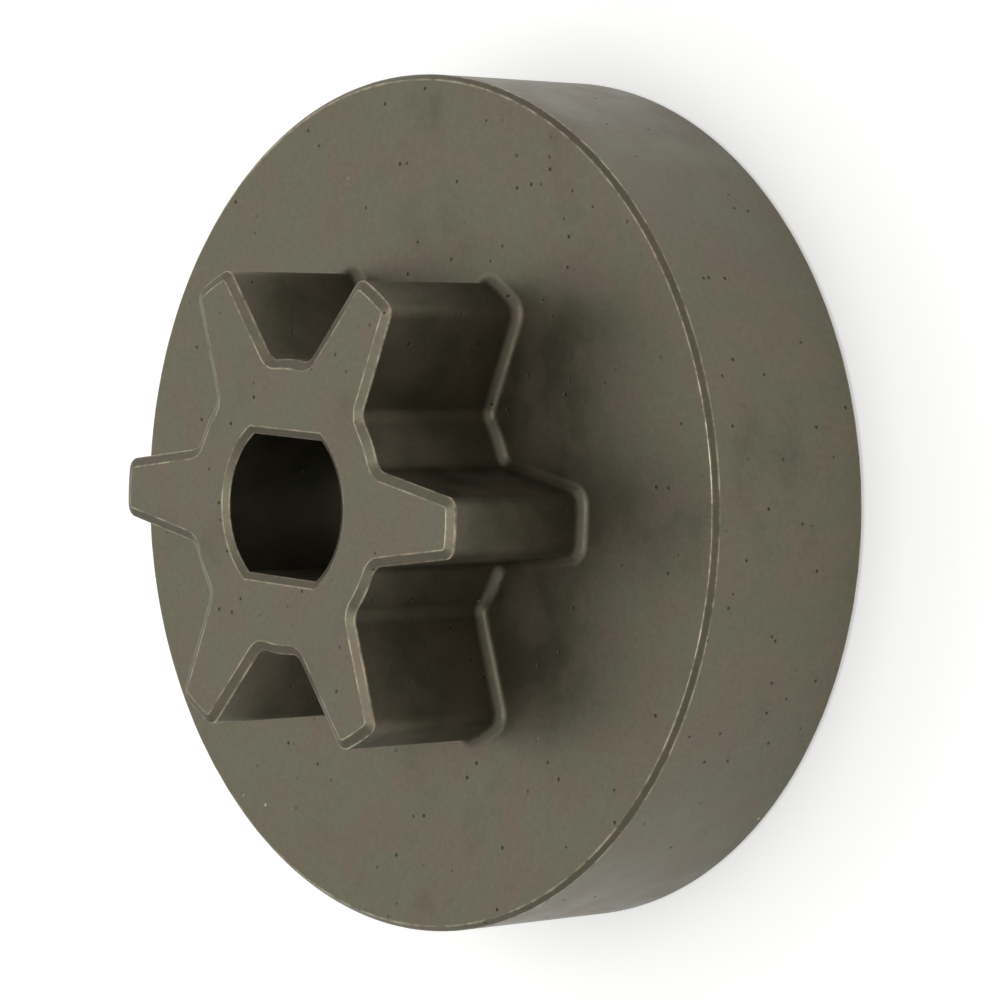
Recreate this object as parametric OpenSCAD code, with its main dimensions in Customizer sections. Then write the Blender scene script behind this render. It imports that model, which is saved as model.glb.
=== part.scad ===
// Drive sprocket of an electric chainsaw, sintered from steel powder as one piece.
// A star wheel for the saw chain stands on the flat front of a round brake drum.
// The part rests on the drum's rear rim at z = 0, with the shaft's axis along +Z and a tooth along +X.

/* [Brake drum] */
// Outer diameter of the drum, where the brake band runs
drum_d = 50.4; // [44:0.2:60]
// Width of the drum along the shaft
drum_w = 12; // [9:0.5:18]
// Wall thickness of the drum's rim
rim_t = 3.2; // [2.4:0.2:5]
// Thickness of the web that closes the drum's front
web_t = 4; // [3:0.2:6]
// Edge break on the outer and inner edges of the rim and the hub
edge_break = 0.3; // [0.1:0.05:0.6]
// Radius where the web meets the rim and the hub
cup_round = 1.2; // [0.4:0.1:2]

/* [Hub] */
// Outer diameter of the hub behind the web
hub_d = 18; // [16:0.5:22]
// Depth of the hub's rear face inside the rear rim
hub_inset = 1; // [0.5:0.25:3]

/* [Star wheel] */
// Number of teeth
teeth = 6; // [5:1:8]
// Diameter over the tooth tips
tip_d = 29.3; // [27:0.1:31]
// Diameter of the floor between the teeth
root_d = 17; // [16:0.1:18]
// Height of the star in front of the web
star_h = 9.85; // [7:0.05:14]
// Width between a tooth's flanks at its tip
tip_w = 3.3; // [2.6:0.1:4]
// Angle of each flank to the middle of its tooth
flank_angle = 9.5; // [6:0.5:12]
// Radius of the corners at a tooth's tip
tip_round = 0.8; // [0.6:0.05:1]
// Radius between a flank and the floor
root_round = 1; // [0.7:0.05:1.3]
// Width of the chamfer around the star's front face
front_chamfer_w = 0.55; // [0.2:0.05:0.7]
// Depth of the chamfer around the star's front face
front_chamfer_h = 0.25; // [0.1:0.05:0.5]
// Radius of the fillet where the star stands on the web
base_fillet = 0.6; // [0.2:0.05:0.8]

/* [Shaft bore] */
// Diameter of the round part of the bore
bore_d = 10; // [8:0.1:11]
// Distance across the bore's two flats
bore_flats = 8; // [6.6:0.1:9]
// Width of the chamfer at the bore's mouths
mouth_chamfer_w = 0.45; // [0.1:0.05:0.6]
// Depth of the chamfer at the bore's mouths
mouth_chamfer_h = 0.25; // [0.1:0.05:0.6]

/* [Hidden] */

// Facets of a full turn
$fn = 96;
// Steps along one round of the drum's section
round_steps = 4;
// Steps along half a tip, one tip corner, one root round and half a floor
tip_steps = 2;
corner_steps = 4;
root_steps = 5;
floor_steps = 2;
// Steps up the fillet at the star's base
fillet_steps = 5;
// Overlap of solids that are joined or cut
overlap = 0.5;

drum_r = drum_d / 2;
rim_in_r = drum_r - rim_t;
web_back_z = drum_w - web_t;
star_top_z = drum_w + star_h;
hub_r = hub_d / 2;
tip_r = tip_d / 2;
root_r = root_d / 2;
bore_r = bore_d / 2;
half_pitch = 180 / teeth;
full_turn = 360;
quarter_turn = 90;

// A fillet or chamfer stays smaller than the round that it runs around
round_share = 0.85;
foot_fillet = min(base_fillet, round_share * root_round);
front_inset = min(front_chamfer_w, round_share * tip_round);

// A flank is a straight line: its normal, the direction along it and its distance from the axis
flank_normal = [sin(flank_angle), cos(flank_angle)];
flank_along = [cos(flank_angle), -sin(flank_angle)];
flank_dist = tip_r * sin(flank_angle) + tip_w / 2 * cos(flank_angle);

// Centre of the tip corner, inside the tooth, and of the root round, inside the gap
corner_centre = on_flank_side(flank_dist - tip_round, tip_r - tip_round);
root_centre = on_flank_side(flank_dist + root_round, root_r + root_round);
corner_angle = atan2(corner_centre.y, corner_centre.x);
root_angle = atan2(root_centre.y, root_centre.x);
normal_angle = quarter_turn - flank_angle;

// Point at a distance from the flank's own parallel through the axis, and at a radius from the axis
function on_flank_side(dist, radius) =
    dist * flank_normal + sqrt(radius * radius - dist * dist) * flank_along;

// Points along an arc, both ends included
function arc(centre, radius, from, to, steps) =
    [for (i = [0:steps]) let (a = from + (to - from) * i / steps) centre + radius * [cos(a), sin(a)]];

function turned(p, a) = [p.x * cos(a) - p.y * sin(a), p.x * sin(a) + p.y * cos(a)];

function without_first(list) = [for (i = [1:len(list) - 1]) list[i]];

// Outline from the middle of a tip to the middle of the next floor, moved outward by grow
function half_tooth(grow) = concat(
    arc([0, 0], tip_r + grow, 0, corner_angle, tip_steps),
    without_first(arc(corner_centre, tip_round + grow, corner_angle, normal_angle, corner_steps)),
    arc(root_centre, root_round - grow, normal_angle - 2 * quarter_turn, root_angle - 2 * quarter_turn, root_steps),
    without_first(arc([0, 0], root_r + grow, root_angle, half_pitch, floor_steps))
);

function whole_tooth(grow) =
    let (half = half_tooth(grow), last = len(half) - 1)
    concat([for (i = [last - 1:-1:1]) [half[i].x, -half[i].y]], half);

function star_outline(grow) =
    let (tooth = whole_tooth(grow))
    [for (k = [0:teeth - 1]) for (p = tooth) turned(p, k * full_turn / teeth)];

// Levels of the star from its buried foot to its front face, each as height and outward growth
star_levels = concat(
    [[drum_w - overlap, foot_fillet]],
    [for (i = [0:fillet_steps]) let (a = quarter_turn * i / fillet_steps)
        [drum_w + foot_fillet * (1 - cos(a)), foot_fillet * (1 - sin(a))]],
    [[star_top_z - front_chamfer_h, 0], [star_top_z, -front_inset]]
);

// Solid through a stack of outlines that have the same number of points
module loft(levels) {
    rings = [for (level = levels) [for (p = star_outline(level[1])) [p.x, p.y, level[0]]]];
    count = len(rings[0]);
    top = count * (len(rings) - 1);
    sides = [for (j = [0:len(rings) - 2]) for (i = [0:count - 1])
        let (a = j * count + i, b = j * count + (i + 1) % count)
        [a, a + count, b + count, b]];
    floor_face = [for (i = [0:count - 1]) i];
    top_face = [for (i = [count - 1:-1:0]) top + i];
    polyhedron([for (ring = rings) for (p = ring) p], concat([floor_face, top_face], sides));
}

module star_wheel() {
    loft(star_levels);
}

// Half section of the drum, web and hub, before the bore is cut
module drum_section() {
    polygon(concat(
        [[0, hub_inset], [hub_r - edge_break, hub_inset], [hub_r, hub_inset + edge_break]],
        arc([hub_r + cup_round, web_back_z - cup_round], cup_round, 2 * quarter_turn, quarter_turn, round_steps),
        arc([rim_in_r - cup_round, web_back_z - cup_round], cup_round, quarter_turn, 0, round_steps),
        [[rim_in_r, edge_break], [rim_in_r + edge_break, 0]],
        [[drum_r - edge_break, 0], [drum_r, edge_break]],
        [[drum_r, drum_w - edge_break], [drum_r - edge_break, drum_w], [0, drum_w]]
    ));
}

module brake_drum() {
    rotate_extrude() drum_section();
}

// Round hole with two flats, from the hub's rear face to the star's front face
module shaft_bore() {
    length = star_top_z - hub_inset + 2 * overlap;
    translate([0, 0, hub_inset - overlap]) intersection() {
        cylinder(r = bore_r, h = length);
        translate([-bore_d, -bore_flats / 2, 0]) cube([2 * bore_d, bore_flats, length]);
    }
}

// Cutter for one mouth of the bore: it widens upward and passes the face at z = 0 by the overlap
module mouth_cutter() {
    slope = mouth_chamfer_w / mouth_chamfer_h;
    spread = mouth_chamfer_w + slope * overlap;
    height = mouth_chamfer_h + overlap;
    low = bore_flats / 2;
    translate([0, 0, -mouth_chamfer_h]) intersection() {
        cylinder(r1 = bore_r, r2 = bore_r + spread, h = height);
        rotate([quarter_turn, 0, quarter_turn]) translate([0, 0, -bore_d]) linear_extrude(2 * bore_d)
            polygon([[-low, 0], [low, 0], [low + spread, height], [-low - spread, height]]);
    }
}

module drive_sprocket() {
    color([0.42, 0.40, 0.32]) difference() {
        union() {
            brake_drum();
            star_wheel();
        }
        shaft_bore();
        translate([0, 0, star_top_z]) mouth_cutter();
        translate([0, 0, hub_inset]) mirror([0, 0, 1]) mouth_cutter();
    }
}

drive_sprocket();
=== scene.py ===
import math
import bpy
from mathutils import Matrix, Vector


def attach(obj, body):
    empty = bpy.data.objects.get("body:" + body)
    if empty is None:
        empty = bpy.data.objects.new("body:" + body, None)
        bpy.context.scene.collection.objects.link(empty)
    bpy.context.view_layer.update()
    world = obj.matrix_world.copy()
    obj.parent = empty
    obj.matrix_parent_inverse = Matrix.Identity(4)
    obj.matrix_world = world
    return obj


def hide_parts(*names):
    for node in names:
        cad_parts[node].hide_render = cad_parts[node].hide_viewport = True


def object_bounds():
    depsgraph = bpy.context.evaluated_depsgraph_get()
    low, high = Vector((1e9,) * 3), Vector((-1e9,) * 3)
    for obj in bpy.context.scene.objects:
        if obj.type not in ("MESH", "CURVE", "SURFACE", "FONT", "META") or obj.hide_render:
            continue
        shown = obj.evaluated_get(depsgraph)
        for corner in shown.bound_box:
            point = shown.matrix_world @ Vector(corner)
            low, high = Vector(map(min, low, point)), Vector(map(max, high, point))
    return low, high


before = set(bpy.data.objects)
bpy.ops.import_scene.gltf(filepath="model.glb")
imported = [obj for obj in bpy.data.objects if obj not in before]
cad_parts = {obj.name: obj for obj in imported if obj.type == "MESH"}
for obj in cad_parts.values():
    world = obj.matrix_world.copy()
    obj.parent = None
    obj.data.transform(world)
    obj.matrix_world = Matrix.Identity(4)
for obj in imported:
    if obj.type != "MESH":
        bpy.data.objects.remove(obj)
cad_low, cad_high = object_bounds()

# The outline of the star wheel, as it is cut in the press die. Each tooth is a tapered bar with a
# round tip, rounded corners and a rounded run into the floor. Every point is kept with the direction
# square to the outline, so the same outline can be grown for the foot or shrunk for the chamfer.
MM = 0.001
TOOTH_COUNT = 6
STAR_HEIGHT = 9.85 * MM
TIP_RADIUS = 14.65 * MM
FLOOR_RADIUS = 8.5 * MM
TIP_WIDTH = 3.3 * MM
FLANK_ANGLE = math.radians(9.5)
TIP_ROUND = 0.8 * MM
ROOT_ROUND = 1.0 * MM
TIP_STEPS = 8
CORNER_STEPS = 8
FLANK_STEPS = 9
ROOT_STEPS = 9
FLOOR_STEPS = 8


def heading(angle):
    return Vector((math.cos(angle), math.sin(angle)))


def half_tooth():
    """Points from the middle of a tip to the middle of the next floor, each with its outward direction."""
    square_to_flank = heading(math.pi / 2 - FLANK_ANGLE)
    along_flank = heading(-FLANK_ANGLE)
    flank_distance = TIP_RADIUS * math.sin(FLANK_ANGLE) + TIP_WIDTH / 2 * math.cos(FLANK_ANGLE)

    def beside_flank(distance, radius):
        return distance * square_to_flank + math.sqrt(radius**2 - distance**2) * along_flank

    corner = beside_flank(flank_distance - TIP_ROUND, TIP_RADIUS - TIP_ROUND)
    root = beside_flank(flank_distance + ROOT_ROUND, FLOOR_RADIUS + ROOT_ROUND)
    corner_angle = math.atan2(corner.y, corner.x)
    root_angle = math.atan2(root.y, root.x)
    square_angle = math.pi / 2 - FLANK_ANGLE
    floor_end = math.pi / TOOTH_COUNT
    points = []
    for step in range(TIP_STEPS):
        out = heading(corner_angle * step / TIP_STEPS)
        points.append((TIP_RADIUS * out, out))
    for step in range(CORNER_STEPS):
        out = heading(corner_angle + (square_angle - corner_angle) * step / CORNER_STEPS)
        points.append((corner + TIP_ROUND * out, out))
    flank_start = corner + TIP_ROUND * square_to_flank
    flank_end = root - ROOT_ROUND * square_to_flank
    for step in range(FLANK_STEPS):
        points.append((flank_start.lerp(flank_end, step / FLANK_STEPS), square_to_flank))
    for step in range(ROOT_STEPS):
        out = heading(square_angle + (root_angle - square_angle) * step / ROOT_STEPS)
        points.append((root - ROOT_ROUND * out, out))
    for step in range(FLOOR_STEPS + 1):
        out = heading(root_angle + (floor_end - root_angle) * step / FLOOR_STEPS)
        points.append((FLOOR_RADIUS * out, out))
    return points


def star_points():
    half = half_tooth()
    mirrored = [(Vector((p.x, -p.y)), Vector((n.x, -n.y))) for p, n in half[-2:0:-1]]
    points = []
    for tooth in range(TOOTH_COUNT):
        turn = Matrix.Rotation(2 * math.pi * tooth / TOOTH_COUNT, 2)
        points += [(turn @ p, turn @ n) for p, n in mirrored + half]
    return points


STAR = star_points()
STAR_ANGLES = [math.atan2(p.y, p.x) for p, _ in STAR]


def star_ring(growth):
    return [p + growth * n for p, n in STAR]


def round_ring(radius):
    return [radius * heading(angle) for angle in STAR_ANGLES]


# The shaft bore: a round hole with two flats, which stop the sprocket turning on its shaft. Its four
# corners fall exactly on points of the mesh, and it is grown in the same way for its chamfers.
BORE_RADIUS = 5.0 * MM
BORE_HALF_FLATS = 4.0 * MM
FLAT_CORNER = math.asin(BORE_HALF_FLATS / BORE_RADIUS)


def snapped_to_corners(angles):
    snapped = list(angles)
    for corner in (FLAT_CORNER, math.pi - FLAT_CORNER, -FLAT_CORNER, FLAT_CORNER - math.pi):
        nearest = min(range(len(angles)), key=lambda i: abs(angles[i] - corner))
        snapped[nearest] = corner
    return snapped


BORE_ANGLES = snapped_to_corners(STAR_ANGLES)


def bore_ring(growth):
    """The bore's outline, with its corners kept sharp as it grows."""
    radius = BORE_RADIUS + growth
    half_flats = BORE_HALF_FLATS + growth
    corner = math.asin(half_flats / radius)
    corner_x = radius * math.cos(corner)
    start_x = BORE_RADIUS * math.cos(FLAT_CORNER)
    ring = []
    for angle in BORE_ANGLES:
        upright = abs(math.sin(angle))
        if upright > math.sin(FLAT_CORNER) + 1e-6:
            x = BORE_HALF_FLATS / math.tan(abs(angle)) * corner_x / start_x
            ring.append(Vector((x, math.copysign(half_flats, angle))))
        elif abs(angle) <= math.pi / 2:
            ring.append(radius * heading(angle * corner / FLAT_CORNER))
        else:
            back = math.copysign(math.pi, angle)
            ring.append(radius * heading(back - (back - angle) * corner / FLAT_CORNER))
    return ring


# The sprocket's skin. Rings of points run from the front of the bore down its wall, over the hub, the
# hollow back, the rim and the drum's outside, across the front to the star's foot, up the star and
# over its face back to the bore. Pressed edges are chamfered and a little rounded by tumbling.
DRUM_RADIUS = (cad_high.x - cad_low.x) / 2
STAR_FRONT = cad_high.z
DRUM_FRONT = STAR_FRONT - STAR_HEIGHT
RIM_INSIDE = DRUM_RADIUS - 3.2 * MM
WEB_BACK = DRUM_FRONT - 4.0 * MM
HUB_RADIUS = 9.0 * MM
HUB_BACK = 1.0 * MM
EDGE_BREAK = 0.3 * MM
CUP_ROUND = 1.2 * MM
FRONT_CHAMFER = (0.55 * MM, 0.25 * MM)
MOUTH_CHAMFER = (0.45 * MM, 0.25 * MM)
FOOT_FILLET = 0.6 * MM
WORN_ROUND = 0.09 * MM
LEAD = 0.2 * MM
EDGE_SUPPORT = 0.07 * MM
ROUND_STEPS = 4


def rounded_path(corners):
    """Turns corners (across, height, radius, cream level) into points (across, height, cream level) with round
    corners; the cream level is worn edge plus painted highlight.
    """
    points = [(Vector(corners[0][:2]), 0.0)]
    for before, here, after in zip(corners, corners[1:], corners[2:]):
        at, radius, wear_and_highlight = Vector(here[:2]), here[2], here[3]
        into = (Vector(before[:2]) - at).normalized()
        out = (Vector(after[:2]) - at).normalized()
        half_angle = into.angle(out) / 2
        reach = radius / math.tan(half_angle)
        centre = at + (into + out).normalized() * radius / math.sin(half_angle)
        first = at + into * reach - centre
        last = at + out * reach - centre
        sweep = first.angle_signed(last)
        points.append((centre + first + into * EDGE_SUPPORT, 0.0))
        for step in range(ROUND_STEPS + 1):
            share = step / ROUND_STEPS
            edge = 1 - abs(2 * share - 1)
            points.append((centre + Matrix.Rotation(-sweep * share, 2) @ first, wear_and_highlight * (0.35 + 0.65 * edge)))
        points.append((centre + last + out * EDGE_SUPPORT, 0.0))
    points.append((Vector(corners[-1][:2]), 0.0))
    return points


# The last number at a corner sets how much pale cream is painted on that edge: partly worn metal, partly a painted
# highlight, so the front edges get most.
bore_path = rounded_path([
    (MOUTH_CHAMFER[0] + LEAD, STAR_FRONT),
    (MOUTH_CHAMFER[0], STAR_FRONT, WORN_ROUND, 0.7),
    (0, STAR_FRONT - MOUTH_CHAMFER[1], WORN_ROUND, 0.8),
    (0, HUB_BACK + MOUTH_CHAMFER[1], WORN_ROUND, 0.6),
    (MOUTH_CHAMFER[0], HUB_BACK, WORN_ROUND, 0.5),
    (MOUTH_CHAMFER[0] + LEAD, HUB_BACK),
])
drum_path = rounded_path([
    (HUB_RADIUS - EDGE_BREAK - LEAD, HUB_BACK),
    (HUB_RADIUS - EDGE_BREAK, HUB_BACK, WORN_ROUND, 0.6),
    (HUB_RADIUS, HUB_BACK + EDGE_BREAK, WORN_ROUND, 0.6),
    (HUB_RADIUS, WEB_BACK, CUP_ROUND, 0.0),
    (RIM_INSIDE, WEB_BACK, CUP_ROUND, 0.0),
    (RIM_INSIDE, EDGE_BREAK, WORN_ROUND, 0.6),
    (RIM_INSIDE + EDGE_BREAK, 0, WORN_ROUND, 0.7),
    (DRUM_RADIUS - EDGE_BREAK, 0, WORN_ROUND, 0.7),
    (DRUM_RADIUS, EDGE_BREAK, WORN_ROUND, 0.7),
    (DRUM_RADIUS, DRUM_FRONT - EDGE_BREAK, WORN_ROUND, 0.8),
    (DRUM_RADIUS - EDGE_BREAK, DRUM_FRONT, WORN_ROUND, 1.0),
    (DRUM_RADIUS - EDGE_BREAK - LEAD, DRUM_FRONT),
])
star_path = rounded_path([
    (FOOT_FILLET + LEAD, DRUM_FRONT),
    (0, DRUM_FRONT, FOOT_FILLET, 0.0),
    (0, STAR_FRONT - FRONT_CHAMFER[1], WORN_ROUND, 1.0),
    (-FRONT_CHAMFER[0], STAR_FRONT, WORN_ROUND, 0.9),
    (-FRONT_CHAMFER[0] - LEAD, STAR_FRONT),
])


def stretched(points, longest):
    """Adds points to a path so that no step is longer than asked."""
    full = [points[0]]
    for before, here in zip(points, points[1:]):
        steps = max(1, math.ceil((here[0] - before[0]).length / longest))
        for step in range(1, steps + 1):
            share = step / steps
            full.append((before[0].lerp(here[0], share), before[1] + (here[1] - before[1]) * share))
    return full


def between(ring_a, ring_b, shares, height):
    """Flat rings between two outlines."""
    return [([a.lerp(b, share) for a, b in zip(ring_a, ring_b)], height, 0.0) for share in shares]


LONGEST_STEP = 1.3 * MM
HUB_FACE_SHARES = (0.3, 0.7)
STAR_FACE_SHARES = (0.15, 0.35, 0.55, 0.75, 0.9)
FRONT_SHARES = (0.1, 0.25, 0.4, 0.55, 0.7, 0.82, 0.9, 0.95, 0.98)


def skin_rings():
    rings = [(bore_ring(p.x), p.y, wear_and_highlight) for p, wear_and_highlight in stretched(bore_path, LONGEST_STEP)]
    drum = [(round_ring(p.x), p.y, wear_and_highlight) for p, wear_and_highlight in stretched(drum_path, LONGEST_STEP)]
    star = [(star_ring(p.x), p.y, wear_and_highlight) for p, wear_and_highlight in stretched(star_path, LONGEST_STEP)]
    rings += between(rings[-1][0], drum[0][0], HUB_FACE_SHARES, HUB_BACK)
    rings += drum
    rings += between(drum[-1][0], star[0][0], FRONT_SHARES, DRUM_FRONT)
    rings += star
    rings += between(star[-1][0], rings[0][0], STAR_FACE_SHARES, STAR_FRONT)
    return rings


def sprocket_mesh():
    rings = skin_rings()
    count = len(STAR)
    points = [(p.x, p.y, height) for ring, height, _ in rings for p in ring]
    faces = []
    for row in range(len(rings)):
        here, above = row * count, (row + 1) % len(rings) * count
        for i in range(count):
            j = (i + 1) % count
            faces.append((here + i, above + i, above + j, here + j))
    mesh = bpy.data.meshes.new("drive_sprocket_skin")
    mesh.from_pydata(points, [], faces)
    # The pale cream level of each ring: worn edge plus painted highlight.
    wear_and_highlight = mesh.attributes.new("edge_wear_and_highlight", "FLOAT", "POINT")
    wear_and_highlight.data.foreach_set("value", [level for _, _, level in rings for _ in range(count)])
    mesh.shade_smooth()
    mesh.validate()
    return mesh


sprocket = bpy.data.objects.new("sprocket_body", sprocket_mesh())
bpy.context.collection.objects.link(sprocket)
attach(sprocket, "root")
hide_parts("drive_sprocket")

# Sintered steel with a steam-grown oxide skin: a satin olive-brown metal, mottled in soft patches, with
# a fine grain, dark pores, a few bright nicks, and pale cream edges that are partly worn metal and partly a painted
# highlight.
OLIVE = (0.150, 0.146, 0.102, 1)
BROWN = (0.178, 0.150, 0.112, 1)
STAIN = (0.070, 0.074, 0.050, 1)
PORE = (0.030, 0.034, 0.024, 1)
# Pale cream for the bright nicks and for the edges, where it is partly worn metal and partly a painted highlight.
RUBBED_AND_HIGHLIGHT = (0.62, 0.52, 0.37, 1)


def steel():
    material = bpy.data.materials.new("sintered_steel_oxide")
    material.use_nodes = True
    nodes, links = material.node_tree.nodes, material.node_tree.links
    shader = nodes["Principled BSDF"]
    shader.inputs["Metallic"].default_value = 1.0

    def node(kind, **values):
        made = nodes.new(kind)
        for name, value in values.items():
            setattr(made, name, value)
        return made

    def pattern(kind, scale, **inputs):
        made = node(kind)
        made.inputs["Scale"].default_value = scale
        for name, value in inputs.items():
            made.inputs[name.replace("_", " ")].default_value = value
        links.new(millimetres.outputs["Vector"], made.inputs["Vector"])
        return made

    def mapped(source, low, high, to_low=0.0, to_high=1.0):
        made = node("ShaderNodeMapRange", interpolation_type="SMOOTHSTEP")
        for name, value in (("From Min", low), ("From Max", high), ("To Min", to_low), ("To Max", to_high)):
            made.inputs[name].default_value = value
        links.new(source, made.inputs["Value"])
        return made.outputs["Result"]

    def product(a, b, operation="MULTIPLY"):
        made = node("ShaderNodeMath", operation=operation)
        for socket, value in zip(made.inputs, (a, b)):
            if isinstance(value, (int, float)):
                socket.default_value = value
            else:
                links.new(value, socket)
        return made.outputs["Value"]

    def mixed(factor, a, b, blend="MIX"):
        made = node("ShaderNodeMix", data_type="RGBA", blend_type=blend)
        links.new(factor, made.inputs["Factor"])
        for socket, value in ((made.inputs["A"], a), (made.inputs["B"], b)):
            if isinstance(value, tuple):
                socket.default_value = value
            else:
                links.new(value, socket)
        return made.outputs["Result"]

    place = node("ShaderNodeTexCoord")
    millimetres = node("ShaderNodeMapping")
    millimetres.inputs["Scale"].default_value = (1000, 1000, 1000)
    links.new(place.outputs["Object"], millimetres.inputs["Vector"])

    patches = pattern("ShaderNodeTexNoise", 0.32, Detail=3.0, Roughness=0.55)
    colour = mixed(mapped(patches.outputs["Fac"], 0.40, 0.62), OLIVE, BROWN)
    stains = pattern("ShaderNodeTexNoise", 0.14, Detail=4.0, Roughness=0.6)
    colour = mixed(mapped(stains.outputs["Fac"], 0.54, 0.80, 0.0, 0.45), colour, STAIN)
    grain = pattern("ShaderNodeTexNoise", 3.2, Detail=5.0, Roughness=0.7)
    colour = mixed(mapped(grain.outputs["Fac"], 0.35, 0.75, 0.16, 0.0), colour, PORE)

    pores = pattern("ShaderNodeTexVoronoi", 1.1, Randomness=1.0)
    pore_shape = mapped(pores.outputs["Distance"], 0.05, 0.17, 1.0, 0.0)
    pore_choice = mapped(pores.outputs["Color"], 0.62, 0.70)
    pore = product(pore_shape, pore_choice)
    colour = mixed(product(pore, 0.75), colour, PORE)

    nicks = pattern("ShaderNodeTexVoronoi", 0.42, Randomness=1.0)
    nick_shape = mapped(nicks.outputs["Distance"], 0.02, 0.055, 1.0, 0.0)
    nick_choice = mapped(nicks.outputs["Color"], 0.70, 0.74)
    nick = product(nick_shape, nick_choice)
    colour = mixed(product(nick, 0.8), colour, RUBBED_AND_HIGHLIGHT)

    # Pale cream painted along every rounded edge, most on the front edges: partly worn metal, partly a painted
    # highlight of the chamfers.
    edge = node("ShaderNodeAttribute", attribute_name="edge_wear_and_highlight")
    edge_cream_breakup = pattern("ShaderNodeTexNoise", 0.8, Detail=5.0, Roughness=0.65)
    rubbed_and_highlight = product(mapped(edge_cream_breakup.outputs["Fac"], 0.36, 0.66, 0.10, 1.0), edge.outputs["Fac"])
    colour = mixed(rubbed_and_highlight, colour, RUBBED_AND_HIGHLIGHT)
    links.new(colour, shader.inputs["Base Color"])

    satin = mapped(patches.outputs["Fac"], 0.30, 0.70, 0.40, 0.50)
    satin = product(satin, product(pore, 0.25), "ADD")
    satin = product(satin, product(rubbed_and_highlight, 0.14), "SUBTRACT")
    links.new(satin, shader.inputs["Roughness"])

    waves = pattern("ShaderNodeTexNoise", 0.5, Detail=2.0)
    relief = product(product(waves.outputs["Fac"], 0.02), product(grain.outputs["Fac"], 0.008), "ADD")
    relief = product(relief, product(pore, 0.03), "SUBTRACT")
    relief = product(relief, product(nick, 0.02), "SUBTRACT")
    bump = node("ShaderNodeBump")
    bump.inputs["Strength"].default_value = 0.8
    bump.inputs["Distance"].default_value = MM
    links.new(relief, bump.inputs["Height"])
    links.new(bump.outputs["Normal"], shader.inputs["Normal"])
    return material


sprocket.data.materials.append(steel())

# The studio: a pale floor that the sprocket stands on, a soft even room, and soft boxes overhead.
FLOOR_SIZE = 3.0
FLOOR_WHITE = (0.80, 0.80, 0.79, 1)
FLOOR_GLOW = 0.42
ROOM_LEVEL = 0.55


def seen_directly(nodes, links):
    """A factor of 1 for rays from the camera and for mirrored or refracted ones, else 0."""
    path = nodes.new("ShaderNodeLightPath")
    total = path.outputs["Is Camera Ray"]
    for name in ("Is Glossy Ray", "Is Transmission Ray"):
        added = nodes.new("ShaderNodeMath")
        added.operation = "MAXIMUM"
        links.new(total, added.inputs[0])
        links.new(path.outputs[name], added.inputs[1])
        total = added.outputs["Value"]
    return total


def floor_material():
    material = bpy.data.materials.new("pale_floor")
    material.use_nodes = True
    nodes, links = material.node_tree.nodes, material.node_tree.links
    shader = nodes["Principled BSDF"]
    shader.inputs["Base Color"].default_value = FLOOR_WHITE
    shader.inputs["Roughness"].default_value = 0.9
    shader.inputs["Specular IOR Level"].default_value = 0.1
    shader.inputs["Emission Color"].default_value = (1, 1, 1, 1)
    glow = nodes.new("ShaderNodeMath")
    glow.operation = "MULTIPLY"
    glow.inputs[1].default_value = FLOOR_GLOW
    links.new(seen_directly(nodes, links), glow.inputs[0])
    links.new(glow.outputs["Value"], shader.inputs["Emission Strength"])
    return material


floor_mesh = bpy.data.meshes.new("floor")
half = FLOOR_SIZE / 2
floor_mesh.from_pydata([(-half, -half, 0), (half, -half, 0), (half, half, 0), (-half, half, 0)], [], [(0, 1, 2, 3)])
floor = bpy.data.objects.new("floor", floor_mesh)
floor_mesh.materials.append(floor_material())
bpy.context.collection.objects.link(floor)

room = bpy.data.worlds.new("room")
room.use_nodes = True
room_nodes, room_links = room.node_tree.nodes, room.node_tree.links
backdrop = room_nodes["Background"]
backdrop.inputs["Color"].default_value = (1, 1, 1, 1)
room_level = room_nodes.new("ShaderNodeMapRange")
room_level.inputs["To Min"].default_value = ROOM_LEVEL
room_level.inputs["To Max"].default_value = 1.0
camera_ray = room_nodes.new("ShaderNodeLightPath")
room_links.new(camera_ray.outputs["Is Camera Ray"], room_level.inputs["Value"])
room_links.new(room_level.outputs["Result"], backdrop.inputs["Strength"])
bpy.context.scene.world = room

CENTRE = Vector((0, 0, DRUM_FRONT))


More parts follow.
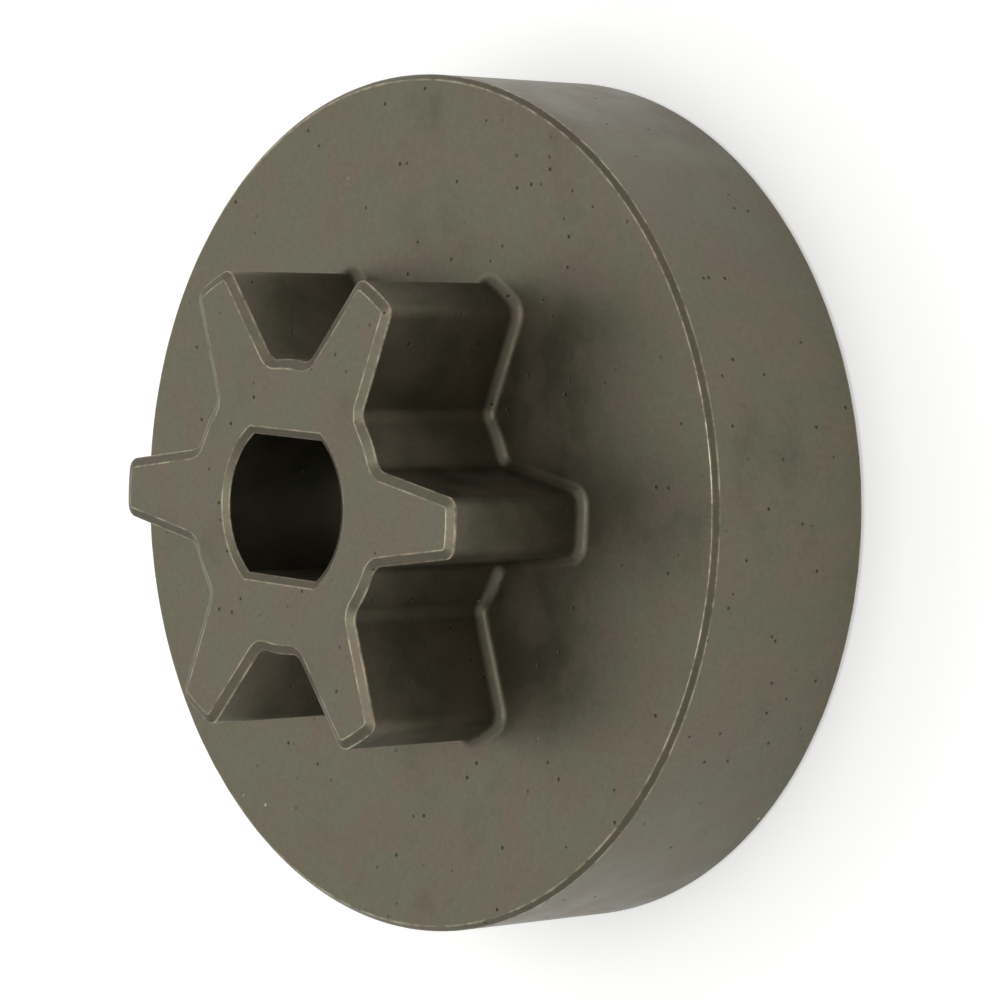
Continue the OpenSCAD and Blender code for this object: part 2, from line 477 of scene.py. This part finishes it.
def soft_box(name, azimuth, elevation, distance, width, height, radiance, colour=(1, 1, 1)):
    """A rectangular lamp that faces the sprocket from a direction given in degrees."""
    lamp = bpy.data.lights.new(name, "AREA")
    lamp.shape = "RECTANGLE"
    lamp.size, lamp.size_y = width, height
    lamp.energy = radiance * math.pi * width * height
    lamp.color = colour
    box = bpy.data.objects.new(name, lamp)
    turn, rise = math.radians(azimuth), math.radians(elevation)
    away = Vector((math.cos(turn) * math.cos(rise), math.sin(turn) * math.cos(rise), math.sin(rise)))
    box.location = CENTRE + away * distance
    box.rotation_mode = "QUATERNION"
    box.rotation_quaternion = away.to_track_quat("Z", "Y")
    box.visible_camera = False
    bpy.context.collection.objects.link(box)
    return box


soft_box("overhead_box", azimuth=0, elevation=86, distance=0.5, width=0.30, height=0.30, radiance=2.2)
soft_box("far_box", azimuth=180, elevation=42, distance=0.45, width=0.45, height=0.35, radiance=0.7)

# The camera: a long lens above the front of the star, turned on its side, as the sprocket was held
# with its shaft's axis level.
VIEW_AZIMUTH = math.radians(5.829)
VIEW_ELEVATION = math.radians(42.570)
VIEW_ROLL = math.radians(-91.544)
VIEW_DISTANCE = 244.45 * MM
VIEW_POINT = Vector((7.763 * MM, 0.855 * MM, DRUM_FRONT))
LENS = 152.945

camera_data = bpy.data.cameras.new("camera")
camera_data.sensor_width = 36.0
camera_data.lens = LENS
camera_data.clip_start = 0.01
camera_data.clip_end = 10.0
camera = bpy.data.objects.new("camera", camera_data)
backward = Vector((
    math.cos(VIEW_AZIMUTH) * math.cos(VIEW_ELEVATION),
    math.sin(VIEW_AZIMUTH) * math.cos(VIEW_ELEVATION),
    math.sin(VIEW_ELEVATION),
))
level_right = Vector((0, 0, 1)).cross(backward).normalized()
level_up = backward.cross(level_right)
right = math.cos(VIEW_ROLL) * level_right + math.sin(VIEW_ROLL) * level_up
up = backward.cross(right)
axes = Matrix((right, up, backward)).transposed().to_4x4()
camera.matrix_world = Matrix.Translation(VIEW_POINT + backward * VIEW_DISTANCE) @ axes
bpy.context.collection.objects.link(camera)
bpy.context.scene.camera = camera
bpy.context.scene.view_settings.view_transform = "Standard"
